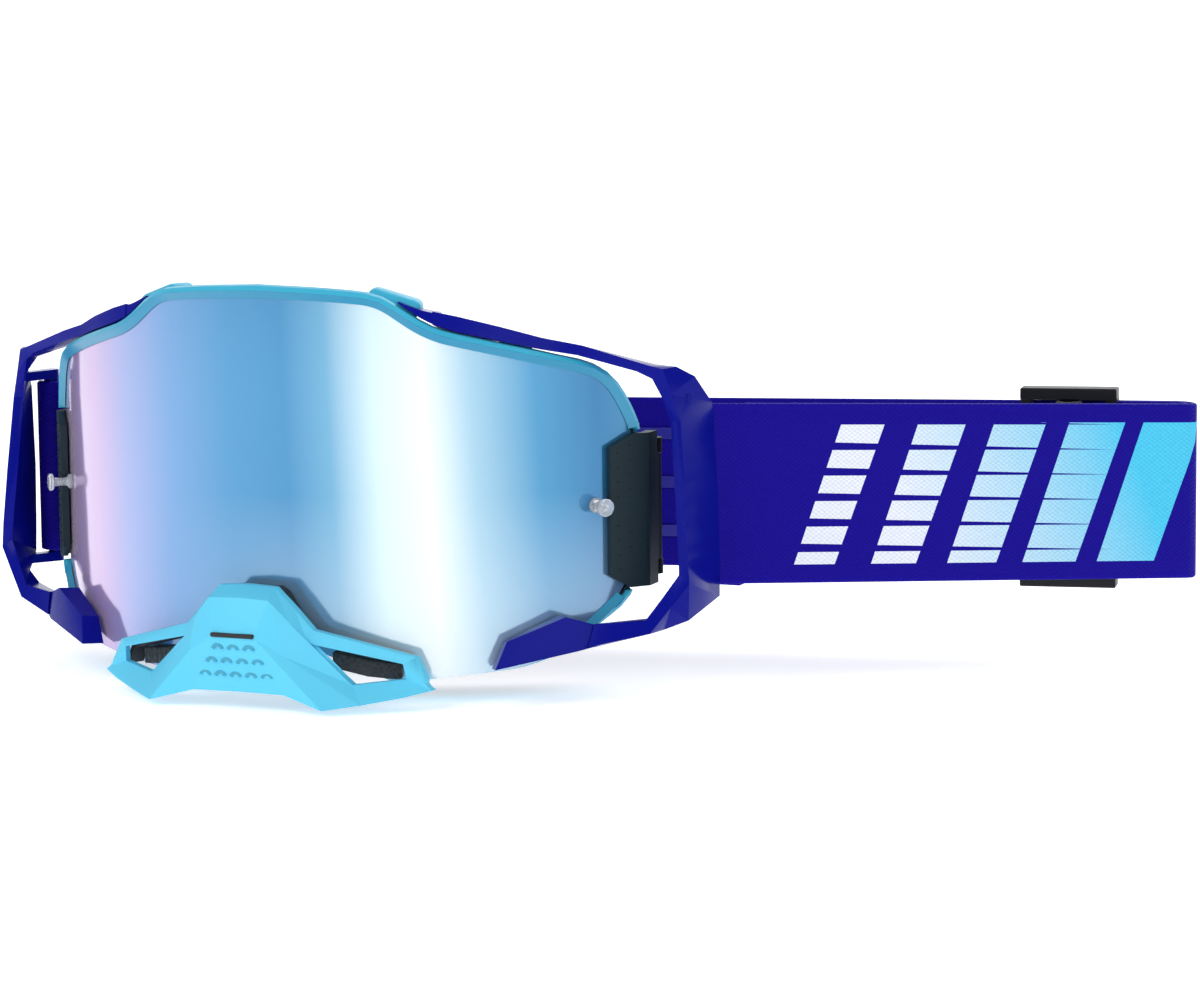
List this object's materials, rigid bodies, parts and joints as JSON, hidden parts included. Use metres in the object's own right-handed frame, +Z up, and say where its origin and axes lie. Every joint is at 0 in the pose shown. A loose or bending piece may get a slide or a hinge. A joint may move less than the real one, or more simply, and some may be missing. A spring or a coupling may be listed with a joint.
{
  "type": "motorcycle goggles",
  "caption": "Off-road riding goggles: cylindrical mirror lens held by hinged side latches, wide frame with outriggers, clip-on nose guard, layered face foam and an adjustable elastic strap.",
  "frame": {"origin": "middle of the face opening, in the plane of the face foam's rearmost edges at the temples", "axes": "+Z up, the lens faces -Y, +X towards the wearer's left, where the strap's fold lies"},
  "size_m": [0.2948, 0.1631, 0.1013],
  "materials": {
    "frame_cyan": "satin moulded urethane, cyan blue",
    "face_black": "matt black flexible plastic",
    "gasket_rubber": "matt black rubber",
    "mirror_lens": "polycarbonate with a blue mirror coating",
    "post_clear": "clear moulded plastic",
    "latch_black": "matt black plastic with a dimpled grip",
    "pin_steel": "drawn steel wire",
    "outrigger_blue": "gloss royal blue plastic",
    "guard_cyan": "satin pale cyan plastic",
    "filter_foam": "open-cell dust filter foam",
    "foam_grey": "dense closed-cell face foam",
    "foam_light": "soft open-cell face foam",
    "fleece_black": "brushed fleece facing",
    "strap_web": "woven elastic webbing, royal blue with pale slanted stripes",
    "silicone_cyan": "printed silicone lines",
    "slider_black": "matt black plastic"
  },
  "bodies": {
    "goggles": {"frame": "frame_cyan", "face_frame": "face_black", "lens_gasket": "gasket_rubber", "lens": "mirror_lens", "left_tear_off_post": "post_clear", "right_tear_off_post": "post_clear", "left_latch_pin": "pin_steel", "right_latch_pin": "pin_steel", "left_outrigger": "outrigger_blue", "right_outrigger": "outrigger_blue", "nose_seal": "gasket_rubber", "nose_vent_filters": "filter_foam", "top_vent_filter": "filter_foam", "bottom_vent_filters": "filter_foam", "foam_dense": "foam_grey", "foam_soft": "foam_light", "foam_fleece": "fleece_black", "strap": "strap_web", "left_strap_return": "strap_web", "right_strap_return": "strap_web", "strap_grip_lines": "silicone_cyan"},
    "left_latch_body": {"left_lens_latch": "latch_black"},
    "right_latch_body": {"right_lens_latch": "latch_black"},
    "guard_body": {"nose_guard": "guard_cyan"},
    "left_slider_body": {"left_slider": "slider_black", "left_slider_loop": "strap_web"},
    "right_slider_body": {"right_slider": "slider_black", "right_slider_loop": "strap_web"}
  },
  "joints": [
    {"name": "left_latch", "type": "hinge", "parent": "goggles", "child": "left_latch_body", "pos_m": [0.08261, -0.01761, -0.0015], "axis": [0, 0, 1], "range_deg": [0, 35]},
    {"name": "right_latch", "type": "hinge", "parent": "goggles", "child": "right_latch_body", "pos_m": [-0.08261, -0.01761, -0.0015], "axis": [0, 0, -1], "range_deg": [0, 35]},
    {"name": "nose_guard_clip", "type": "slide", "parent": "goggles", "child": "guard_body", "axis": [0, -0.94, -0.3412], "range_m": [0, 0.025]},
    {"name": "left_slider_slide", "type": "slide", "parent": "goggles", "child": "left_slider_body", "axis": [-0.9816, -0.1908, -0.0055], "range_m": [-0.008, 0.026]},
    {"name": "right_slider_slide", "type": "slide", "parent": "goggles", "child": "right_slider_body", "axis": [-0.9816, -0.1908, -0.0055], "range_m": [-0.026, 0.008]}
  ]
}
